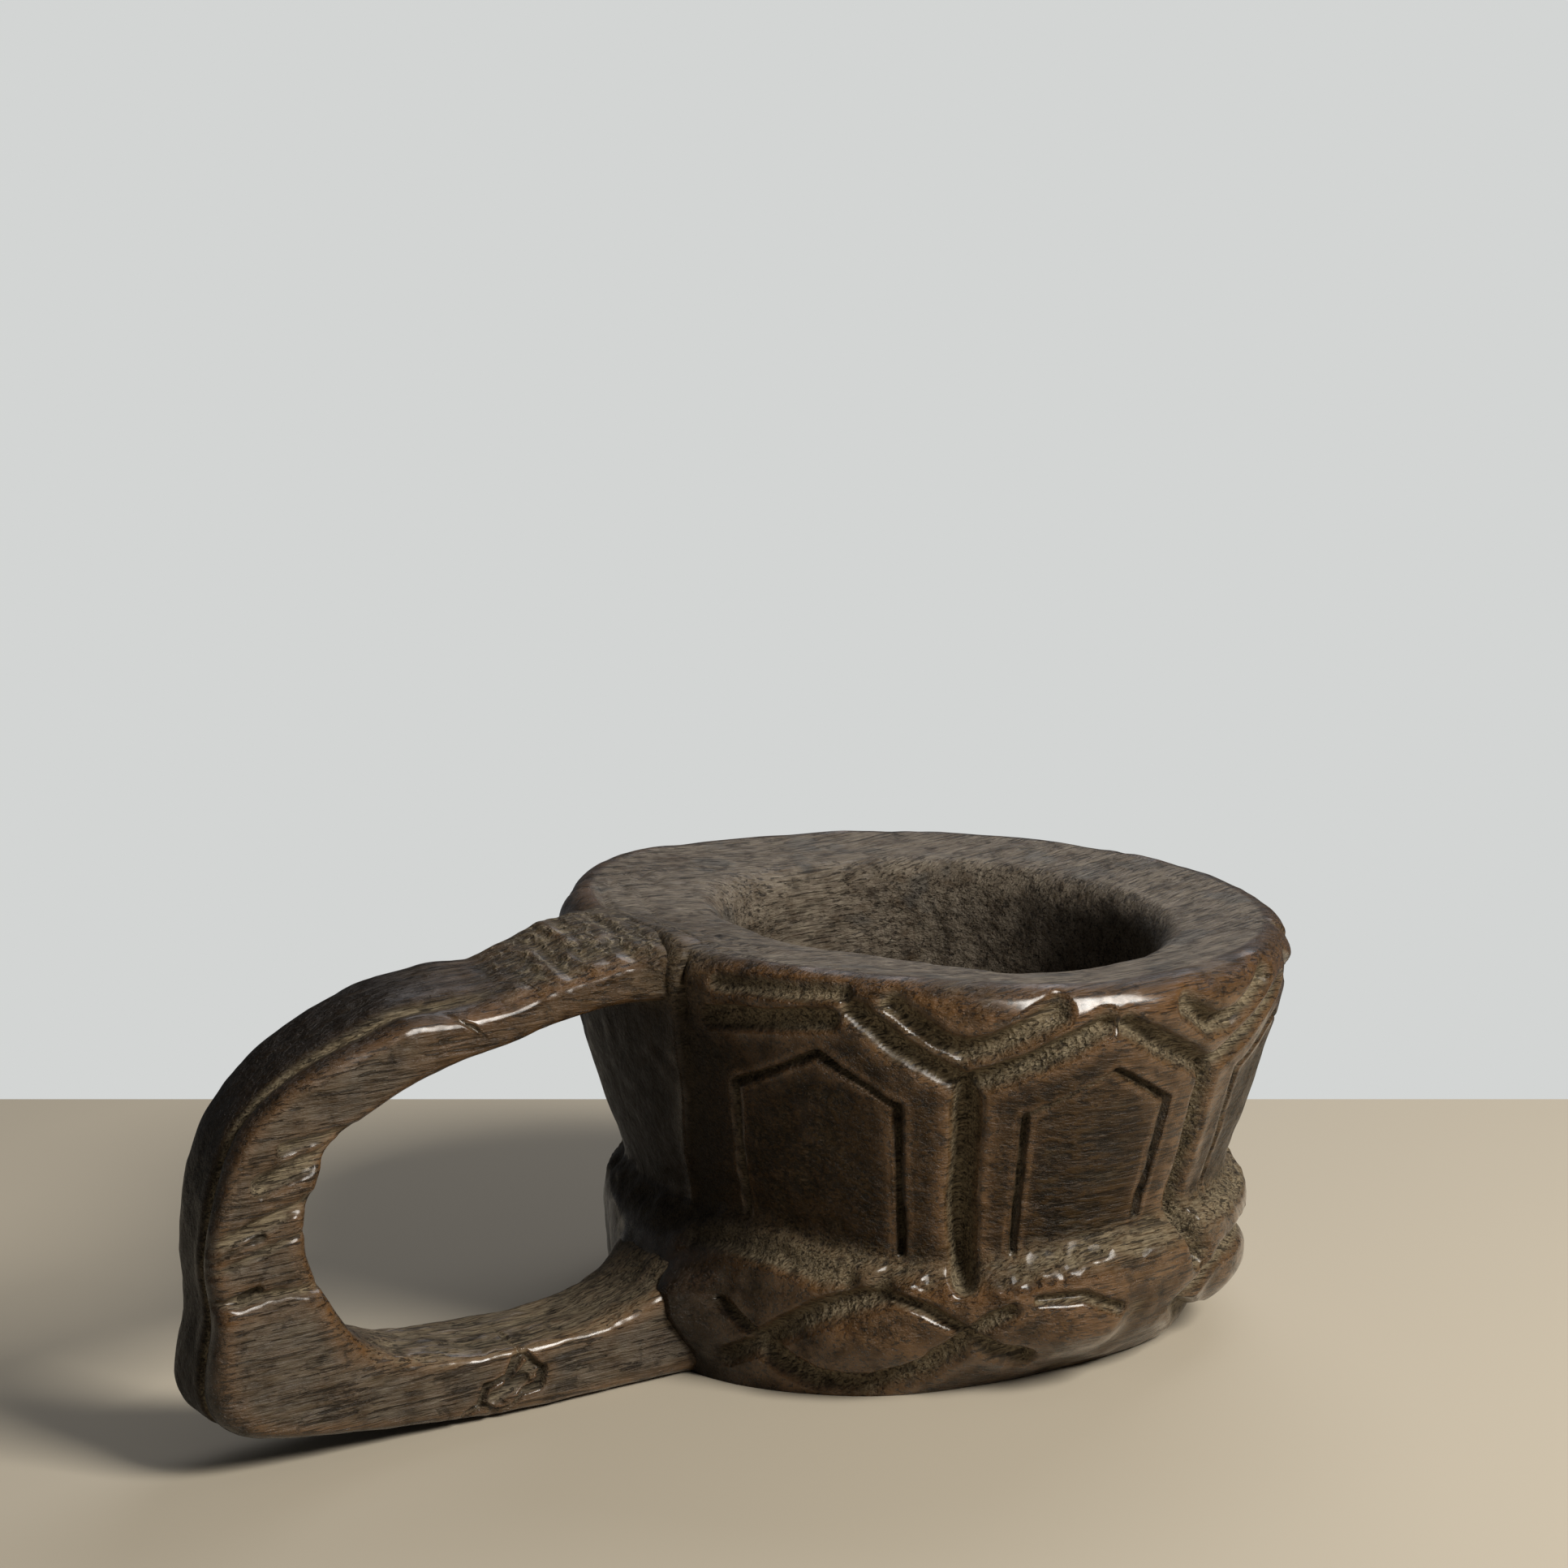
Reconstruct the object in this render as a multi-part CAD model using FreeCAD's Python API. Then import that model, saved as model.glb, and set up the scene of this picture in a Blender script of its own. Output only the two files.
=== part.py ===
# A kuksa: a thick-walled drinking cup carved from a block of dark, dense wood, with a closed
# loop handle big enough for a whole hand. Units are millimetres. The cup stands on z = 0, its
# round bowl is centred on the Z axis and the handle points along -X.
#
# The real cup is one carved block. Here it is two solids, the bowl and the handle, which meet
# face to face along the bowl's outer skin, where the carver's own border lines run.

import FreeCAD, Part
import math
import os
from FreeCAD import Vector

# ---- bowl, outside -------------------------------------------------------------------------
stand_radius = 77.0       # flat face that the cup stands on
stand_shift_x = -5.5      # its centre lies off the bowl's axis: the foot leans back and left
stand_shift_y = 6.4
foot_radius = 86.7        # widest point of the bulged foot band
foot_height = 29.0        # where the foot band turns in towards the waist
foot_levels = (0.0, 0.27, 0.5, 1.0)  # levels of the foot band as shares of its height
foot_tucks = (1.0, 0.5, 0.2, 0.0)    # share of the way in to the stand that each has gone
waist_radius = 79.2       # crease between the foot band and the wall
waist_height = 41.0
wall_bulge = 1.3          # the wall stands out this much over a straight line
rim_radius = 96.2         # widest point of the wall, just under the rim
cup_height = 109.4        # crest of the rim, on average
rim_lean = 2.9            # the crest is this much higher on one side and lower on the other
rim_lean_angle = 130.0    # and highest at this angle
rim_edge = 7.5            # height of the rounded outer edge of the rim
crest_inset = 7.0         # the crest lies this far in from the widest point
rim_top_width = 22.0      # the rim's broad top, from its crest to where the lip rolls over
rim_top_fall = 3.0        # the top slopes down this much towards the mouth

# ---- bowl, inside --------------------------------------------------------------------------
floor_thickness = 15.0
floor_radius = 53.5       # radius of the cavity where its floor and wall would meet
floor_corner = 22.0       # round between them
lip_width = 7.0           # the lip rolls over into the mouth across this width
lip_height = 11.0         # and down this far

# ---- carving -------------------------------------------------------------------------------
panel_count = 7           # house-shaped panels; one more unit of the same width stays plain
first_stem = 192.6        # angle in degrees of the border between the plain unit and the first
house_half_angle = 13.0   # from a panel's middle to its upright sides, in degrees
house_eave = 77.0         # height of the panel's shoulders; its sides run down to the waist
house_ridge = 87.5        # height of its peak
line_width = 2.2          # knife line that draws the panel
line_depth = 1.2
gouge_width = 7.0         # broad gouged channels between the panels
gouge_depth = 1.8
fork_height = 82.0        # where an upright channel splits into two arms
fork_rise = 15.0          # the arms climb this much
fork_spread = 19.5        # and lean out by this many degrees
twin_step = 9.5           # a second, shorter pair of arms starts this far above the first
twin_rise = 9.0
twin_spread = 11.0
band_heights = (96.5, 102.5)  # short level channels that run in from the plain unit's edges
band_start = 6.5          # degrees from that edge to their near end
band_length = 16.5        # and their own length in degrees
band_width = 5.0
lattice_width = 6.0       # channels that cross on the foot band
lattice_low = 5.0
lattice_high = 27.0

# ---- handle --------------------------------------------------------------------------------
handle_reach = 212.0      # from the cup's axis to the outside of the loop
grip_width = 25.5         # across the loop
upper_root_width = 46.0   # the upper arm spreads like a fan where it flows into the rim
lower_root_width = 31.0
root_spread = 52.0        # length over which the roots spread
upper_arm_height = 13.0   # thickness of the upper arm at the rim
upper_arm_rise = 0.4      # its top lies this far over the crest's average height
arm_slope = 16.0          # the upper arm falls this much before it turns down
lower_arm_height = 18.5
lower_arm_lift = 0.5      # daylight under the lower arm at the cup
tip_lift = 7.5            # the middle line climbs this much from there to the loop's corner
leg_thickness = 24.0      # outer upright of the loop
shoulder_round = 45.0     # the loop's middle line turns down with this radius
knob_round = 30.0         # and turns back towards the foot with this one
knob_bulge = 8.0          # extra wood on the outside of that lower corner, which makes a knob
knob_spread = 13.5        # it fades out over this length each way
edge_flat = 4.5           # the handle's long edges are cut off by flats this deep
loop_flats = 40           # the loop is shaved in this many steps from root to root
root_depth = 8.0          # the loop's line starts this far inside the waist; the skin cuts it off
round_flats = 1           # the bowl's rounds are knife-cut: each is this many narrow flats


def rounded_outline(corners, flats=0):
    """Closed wire through (x, y, radius) corners, each rounded by its own radius.

    A round takes at most half of the shorter side beside it. It is an arc, or so many flats.
    """
    count = len(corners)
    places = [Vector(x, y, 0) for x, y, _ in corners]
    pieces = []
    for number, corner in enumerate(places):
        before = places[number - 1] - corner
        after = places[(number + 1) % count] - corner
        half = before.getAngle(after) / 2
        reach = corners[number][2] / math.tan(half)
        reach = min(reach, 0.49 * before.Length, 0.49 * after.Length)
        if reach < 1e-3:
            pieces.append([corner])
            continue
        radius = reach * math.tan(half)
        first = corner + before.normalize() * reach
        last = corner + after.normalize() * reach
        middle = corner + (before + after).normalize() * (radius / math.sin(half) - radius)
        arc = Part.Arc(first, middle, last)
        pieces.append(arc.discretize(flats + 1) if flats else [arc])
    edges = []
    for number, piece in enumerate(pieces):
        following = pieces[(number + 1) % count][0]
        if isinstance(piece[-1], Part.Arc):
            edges.append(piece[0].toShape())
            start = piece[0].EndPoint
        else:
            edges += [Part.LineSegment(a, b).toShape() for a, b in zip(piece, piece[1:])]
            start = piece[-1]
        end = following.StartPoint if isinstance(following, Part.Arc) else following
        edges.append(Part.LineSegment(start, end).toShape())
    return Part.Wire(edges)


def turned(corners):
    """Solid of revolution about Z from (radius, height, round) corners, its rounds cut as flats."""
    outline = rounded_outline(corners, round_flats)
    outline.rotate(Vector(0, 0, 0), Vector(1, 0, 0), 90)
    return Part.Face(outline).revolve(Vector(0, 0, 0), Vector(0, 0, 1), 360)


def outer_corners(inset=0.0):
    """Half section of the skin from the foot band's top up, or of a copy set back by inset."""
    ledge = foot_radius - waist_radius
    middle = (waist_height + cup_height) / 2
    return [
        (foot_radius - inset, foot_height, 0),
        (foot_radius - 0.1 * ledge - inset, (foot_height + waist_height) / 2, 0),
        (waist_radius - inset, waist_height, 0),
        ((waist_radius + rim_radius) / 2 + wall_bulge - inset, middle, 0),
        (rim_radius - inset, cup_height - rim_edge, 0),
    ]


def foot_band(inset=0.0):
    """The foot below its widest level: round sections that draw in and lean to the stand."""
    circles = []
    for level, tuck in zip(foot_levels, foot_tucks):
        centre = Vector(stand_shift_x * tuck, stand_shift_y * tuck, foot_height * level)
        radius = foot_radius - tuck * (foot_radius - stand_radius) - inset
        circles.append(Part.Wire(Part.makeCircle(radius, centre)))
    return Part.makeLoft(circles, True, True)


def skin(inset=0.0):
    """The block inside the skin, its wall run on upwards past the rim."""
    above = cup_height + rim_edge + rim_lean
    corners = outer_corners(inset) + [(rim_radius - inset, above, 0), (0, above, 0)]
    return foot_band(inset).fuse(turned([(0, foot_height, 0)] + corners))


def under_rim(mouth_fall):
    """All that lies under the rim's leaning surface, its top falling by mouth_fall to the lip."""
    crest = rim_radius - crest_inset
    eased = 1 - math.sqrt(0.5)
    edge_radius = rim_radius - eased * crest_inset
    edge_height = cup_height - eased * rim_edge
    # the edge's lower flat runs on outwards until it is far below the floor
    flare = eased * crest_inset / ((1 - eased) * rim_edge) * (edge_height + cup_height)
    lip = cup_height - mouth_fall
    lip_fall = lip_height * mouth_fall / rim_top_fall
    lip_radius = crest - rim_top_width
    corners = [
        (0, -cup_height, 0), (edge_radius + flare, -cup_height, 0), (edge_radius, edge_height, 0),
        (crest, cup_height, 0), (lip_radius, lip, 0),
        (lip_radius - (1 - eased) * lip_width, lip - eased * lip_fall, 0),
        (lip_radius - lip_width, lip - lip_fall, 0), (0, lip - lip_fall, 0),
    ]
    surface = turned(corners)
    turn = math.radians(rim_lean_angle)
    lean = math.degrees(math.atan(rim_lean / crest))
    surface.rotate(Vector(0, 0, cup_height), Vector(math.sin(turn), -math.cos(turn), 0), lean)
    return surface


def hollow_bowl():
    above = cup_height + rim_edge
    mouth_radius = rim_radius - crest_inset - rim_top_width - lip_width
    cavity = turned([(0, floor_thickness, 0), (floor_radius, floor_thickness, floor_corner),
                     (mouth_radius, above, 0), (0, above, 0)])
    return skin().common(under_rim(rim_top_fall)).cut(cavity)


def between(stations, height):
    """Value at a height, straight between (value, height) stations and level past the last."""
    for (v0, z0), (v1, z1) in zip(stations, stations[1:]):
        if z0 <= height <= z1:
            return v0 + (v1 - v0) * (height - z0) / (z1 - z0)
    return stations[-1][0]


def wall_radius(height):
    return between([corner[:2] for corner in outer_corners()], height)


def on_wall(angle, height):
    """Place on the skin at an angle and a height, on the wall or on the foot band."""
    turn = math.radians(angle)
    out = Vector(math.cos(turn), math.sin(turn), 0)
    if height >= foot_height:
        return out * wall_radius(height) + Vector(0, 0, height)
    tuck = between([(tuck, level * foot_height) for level, tuck in zip(foot_levels, foot_tucks)], height)
    lean = out.dot(Vector(stand_shift_x, stand_shift_y, 0)) * tuck
    radius = foot_radius - tuck * (foot_radius - stand_radius) + lean
    return out * radius + Vector(0, 0, height)


def gouge(start, end, width, depth):
    """Wedge that cuts a channel along the wall between two (angle, height) places."""
    a = on_wall(*start)
    b = on_wall(*end)
    along = (b - a).normalize()
    middle = (a + b) * 0.5
    outward = Vector(middle.x, middle.y, 0).normalize()
    outward = (outward - along * outward.dot(along)).normalize()
    side = along.cross(outward)
    bottom = width * 0.3
    steep = (width / 2 - bottom) / (2 * depth)
    low = depth * 2
    high = depth * 3
    corners = [(-width / 2 - steep * high, high), (-bottom, -low),
               (bottom, -low), (width / 2 + steep * high, high)]
    start_point = a - along * (width * 0.2)
    points = [start_point + side * across + outward * out for across, out in corners]
    face = Part.Face(Part.makePolygon(points + points[:1]))
    return face.extrude(along * (b.distanceToPoint(a) + width * 0.4))


def house(middle, inset=0.0):
    """Prism through the wall with the outline of one house-shaped panel."""
    turn = math.radians(middle)
    out = Vector(math.cos(turn), math.sin(turn), 0)
    side = Vector(-math.sin(turn), math.cos(turn), 0)
    low = waist_height - inset
    half = math.sin(math.radians(house_half_angle))
    half_low = waist_radius * half - inset
    half_high = wall_radius(house_eave) * half - inset
    eave = house_eave - inset * 0.4
    ridge = house_ridge - inset * 1.2
    outline = [(-half_low, low), (half_low, low), (half_high, eave), (0, ridge), (-half_high, eave)]
    base = out * (waist_radius * 0.8)
    points = [base + side * across + Vector(0, 0, height) for across, height in outline]
    face = Part.Face(Part.makePolygon(points + points[:1]))
    return face.extrude(out * rim_radius)


def carving():
    """All the cutters of the wall and the foot band, trimmed to an even depth."""
    pitch = 360.0 / (panel_count + 1)
    lines = []
    channels = []
    for number in range(panel_count):
        middle = first_stem + (number + 0.5) * pitch
        lines.append(house(middle).cut(house(middle, line_width)))
    for number in range(1, panel_count):
        stem = first_stem + number * pitch
        channels.append(gouge((stem, waist_height), (stem, fork_height), gouge_width, gouge_depth))
        twin = fork_height + twin_step
        for way in (-1, 1):
            arm_end = (stem + way * fork_spread, fork_height + fork_rise)
            twin_end = (stem + way * twin_spread, twin + twin_rise)
            channels.append(gouge((stem, fork_height), arm_end, gouge_width, gouge_depth))
            channels.append(gouge((stem, twin), twin_end, gouge_width, gouge_depth))
    last_stem = first_stem + panel_count * pitch
    for height in band_heights:
        for edge, way in ((first_stem, 1), (last_stem, -1)):
            near = (edge + way * band_start, height)
            far = (edge + way * (band_start + band_length), height)
            channels.append(gouge(near, far, band_width, gouge_depth))
    crossing = (lattice_low + lattice_high) / 2
    for number in range(panel_count):
        left = first_stem + number * pitch
        for height in (lattice_low, lattice_high):
            peak = (left + pitch / 2, height)
            channels.append(gouge((left, crossing), peak, lattice_width, gouge_depth))
            channels.append(gouge(peak, (left + pitch, crossing), lattice_width, gouge_depth))
    broad = channels[0].multiFuse(channels[1:]).cut(skin(gouge_depth))
    thin = Part.makeCompound(lines).cut(skin(line_depth))
    return [broad, thin]


def make_bowl():
    return hollow_bowl().cut(carving())


def octagon(centre, normal, thickness, width):
    """Section of the loop: an upright rectangle with its four corners cut off by flats."""
    half_t = thickness / 2
    half_w = width / 2
    flat = min(edge_flat, 0.4 * min(thickness, width))
    corners = [
        (half_w, half_t - flat), (half_w - flat, half_t), (flat - half_w, half_t), (-half_w, half_t - flat),
        (-half_w, flat - half_t), (flat - half_w, -half_t), (half_w - flat, -half_t), (half_w, flat - half_t),
    ]
    points = [centre + Vector(0, across, 0) + normal * out for across, out in corners]
    return Part.makePolygon(points + points[:1])


def blend(low, high, share):
    """Eases from low to high as share runs from 0 to 1, and stays level outside that."""
    share = min(max(share, 0.0), 1.0)
    return low + (high - low) * share * share * (3 - 2 * share)


def loop_line():
    """Middle line of the loop in the X-Z plane, from the upper root round to the lower one."""
    root = root_depth - waist_radius
    leg = -handle_reach + leg_thickness / 2
    top = cup_height + upper_arm_rise - upper_arm_height / 2
    low = lower_arm_lift + lower_arm_height / 2
    corners = [
        (root, top, 0),
        (-rim_radius, top, root_spread),
        (leg, top - arm_slope, shoulder_round),
        (leg, low + tip_lift, knob_round),
        (-foot_radius - root_spread / 2, low, root_spread),
        (root, low, 0),
    ]
    outline = rounded_outline(corners)
    return Part.Wire(outline.Edges[:-1])


def make_handle():
    line = loop_line()
    points = line.discretize(loop_flats)
    lower_corner = lower_arm_lift + lower_arm_height / 2 + tip_lift
    knob = Vector(-handle_reach + leg_thickness / 2, lower_corner, 0)
    knob_gap = knob_round * (math.sqrt(2) - 1)
    sections = []
    for number, point in enumerate(points):
        before = points[max(number - 1, 0)]
        after = points[min(number + 1, loop_flats - 1)]
        along = (after - before).normalize()
        normal = Vector(along.y, 0, -along.x)
        upright = abs(along.y)
        upper = number < loop_flats / 2
        root_x = -rim_radius if upper else -foot_radius
        away = (root_x - point.x) / root_spread
        root_width = upper_root_width if upper else lower_root_width
        arm = upper_arm_height if upper else lower_arm_height
        width = blend(root_width, grip_width, away)
        thickness = blend(arm, leg_thickness, upright)
        bulge = blend(knob_bulge, 0, (point.distanceToPoint(knob) - knob_gap) / knob_spread)
        centre = Vector(point.x, 0, point.y) + normal * (bulge / 2)
        sections.append(octagon(centre, normal, thickness + bulge, width))
    loop = Part.makeLoft(sections, True, True)
    return loop.cut(skin().common(under_rim(0)))


def save(name, shape):
    print(name, "solids", len(shape.Solids), "valid", shape.isValid(), "volume", round(shape.Volume))
    shape.exportStep("parts/" + name + ".step")


os.makedirs("parts", exist_ok=True)
save("bowl", make_bowl())
save("handle", make_handle())
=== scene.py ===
import bpy
import numpy as np
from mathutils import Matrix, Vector


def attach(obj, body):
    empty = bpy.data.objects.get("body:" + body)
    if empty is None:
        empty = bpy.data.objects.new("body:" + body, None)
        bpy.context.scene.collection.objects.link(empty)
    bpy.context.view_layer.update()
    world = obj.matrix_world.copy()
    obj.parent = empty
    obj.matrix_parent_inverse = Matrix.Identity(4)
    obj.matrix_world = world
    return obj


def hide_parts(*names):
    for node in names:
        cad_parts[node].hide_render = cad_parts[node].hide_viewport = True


# A kuksa carved from one block of dark hardwood: a heavy bowl and a closed loop handle.
# Lengths are millimetres here and turn into metres where a mesh is made. Heights are above the
# floor, angles run round the bowl from +X, and the handle points to 180 degrees.
mm = 0.001
farOff = 6.0      # mm from a knife line at which its painted shade no longer shows
beyond = 60.0     # mm at which the bowl and the handle have nothing to do with each other

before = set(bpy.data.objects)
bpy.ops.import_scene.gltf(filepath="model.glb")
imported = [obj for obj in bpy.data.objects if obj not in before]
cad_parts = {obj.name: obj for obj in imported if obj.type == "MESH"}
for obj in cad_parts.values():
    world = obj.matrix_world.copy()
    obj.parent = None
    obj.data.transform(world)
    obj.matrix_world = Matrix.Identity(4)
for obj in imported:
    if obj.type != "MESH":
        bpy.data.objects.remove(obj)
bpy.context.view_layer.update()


def easeStep(low, high, value):
    # 0 below low, 1 above high, and a smooth S in between
    share = np.clip((value - low) / (high - low), 0, 1)
    return share * share * (3 - 2 * share)


def softCurve(at, knots, blur):
    # straight runs between the knots, averaged under a bell of that width
    perBlur = 8
    reach = 3 * perBlur
    places, values = np.array(sorted(knots), float).T
    grid = np.arange(places[0] - 4 * blur, places[-1] + 4 * blur, blur / perBlur)
    rough = np.pad(np.interp(grid, places, values), reach, mode="edge")
    bell = np.exp(-0.5 * (np.arange(-reach, reach + 1) / perBlur) ** 2)
    return np.interp(at, grid, np.convolve(rough, bell / bell.sum(), mode="valid"))


def ringCurve(angle, knots, blur):
    # the same, closed on itself every 360 degrees
    laps = [(place % 360 + lap, value) for lap in (-360, 0, 360) for place, value in knots]
    return softCurve(np.mod(angle, 360), laps, blur)


def lumps(points, size, seed):
    # value noise from -1 to 1: random numbers on a lattice of that size, eased from corner to corner
    entries, primes = 4096, (73856093, 19349663, 83492791)
    table = np.random.default_rng(seed).uniform(-1, 1, entries)
    cell = points / np.asarray(size, float)
    corner = np.floor(cell).astype(np.int64)
    ease = cell - corner
    ease = ease * ease * (3 - 2 * ease)
    total = np.zeros(points.shape[:-1])
    for step in np.ndindex(2, 2, 2):
        key, weight = 0, 1.0
        for axis in range(3):
            key = key ^ ((corner[..., axis] + step[axis]) * primes[axis])
            weight = weight * np.abs(1 - step[axis] - ease[..., axis])
        total += table[key % entries] * weight
    return total


def toolMarks(points, marks, places):
    # what the tools left: lumps, or creases where they are folded, each kind in its own place
    relief = np.zeros(points.shape[:-1])
    for name, amount, size, seed, folded in marks:
        mark = lumps(points, size, seed)
        relief += places[name] * amount * (np.abs(mark) if folded else mark)
    return relief


def blurGrid(values, rows, columns):
    # averages a grid under a square-ish bell, wrapping round its columns
    for size, axis in ((rows, 0), (columns, 1)):
        reach = 3 * size
        bell = np.exp(-0.5 * (np.arange(-reach, reach + 1) / size) ** 2)
        bell /= bell.sum()
        pads = ((reach, reach), (0, 0)) if axis == 0 else ((0, 0), (reach, reach))
        padded = np.pad(values, pads, mode="edge" if axis == 0 else "wrap")
        values = sum(
            weight * np.take(padded, np.arange(values.shape[axis]) + number, axis=axis)
            for number, weight in enumerate(bell)
        )
    return values


def gridNormals(points):
    # outward normals of a grid whose columns close on themselves
    across = np.roll(points, -1, axis=1) - np.roll(points, 1, axis=1)
    along = np.gradient(points, axis=0)
    normal = np.cross(across, along)
    return normal / np.maximum(np.linalg.norm(normal, axis=2, keepdims=True), 1e-9)


def gridMesh(name, points, attributes):
    # rows run from pole to pole, columns close on themselves; each end closes with a fan
    rows, columns = points.shape[:2]
    poles = [points[0].mean(axis=0), points[-1].mean(axis=0)]
    vertices = np.vstack([poles[:1], points.reshape(-1, 3), poles[1:]]) * mm
    index = 1 + np.arange(rows * columns).reshape(rows, columns)
    nextColumn = np.roll(index, -1, axis=1)
    quads = np.stack([index[:-1], nextColumn[:-1], nextColumn[1:], index[1:]], axis=-1)
    quads = quads.reshape(-1, 4)
    firstFan = np.stack([np.zeros(columns, int), nextColumn[0], index[0]], axis=-1)
    lastFan = np.stack([np.full(columns, rows * columns + 1), index[-1], nextColumn[-1]], axis=-1)
    loops = np.concatenate([quads.ravel(), firstFan.ravel(), lastFan.ravel()])
    sizes = np.concatenate([np.full(len(quads), 4), np.full(2 * columns, 3)])
    mesh = bpy.data.meshes.new(name)
    mesh.vertices.add(len(vertices))
    mesh.vertices.foreach_set("co", vertices.astype(np.float32).ravel())
    mesh.loops.add(len(loops))
    mesh.loops.foreach_set("vertex_index", loops.astype(np.int32))
    mesh.polygons.add(len(sizes))
    mesh.polygons.foreach_set("loop_start", (np.cumsum(sizes) - sizes).astype(np.int32))
    mesh.polygons.foreach_set("use_smooth", np.ones(len(sizes), bool))
    for title, values in attributes.items():
        whole = np.concatenate([[values[0].mean()], values.ravel(), [values[-1].mean()]])
        stored = mesh.attributes.new(title, "FLOAT", "POINT")
        stored.data.foreach_set("value", whole.astype(np.float32))
    mesh.update(calc_edges=True)
    mesh.validate()
    piece = bpy.data.objects.new(name, mesh)
    bpy.context.scene.collection.objects.link(piece)
    return piece


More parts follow.
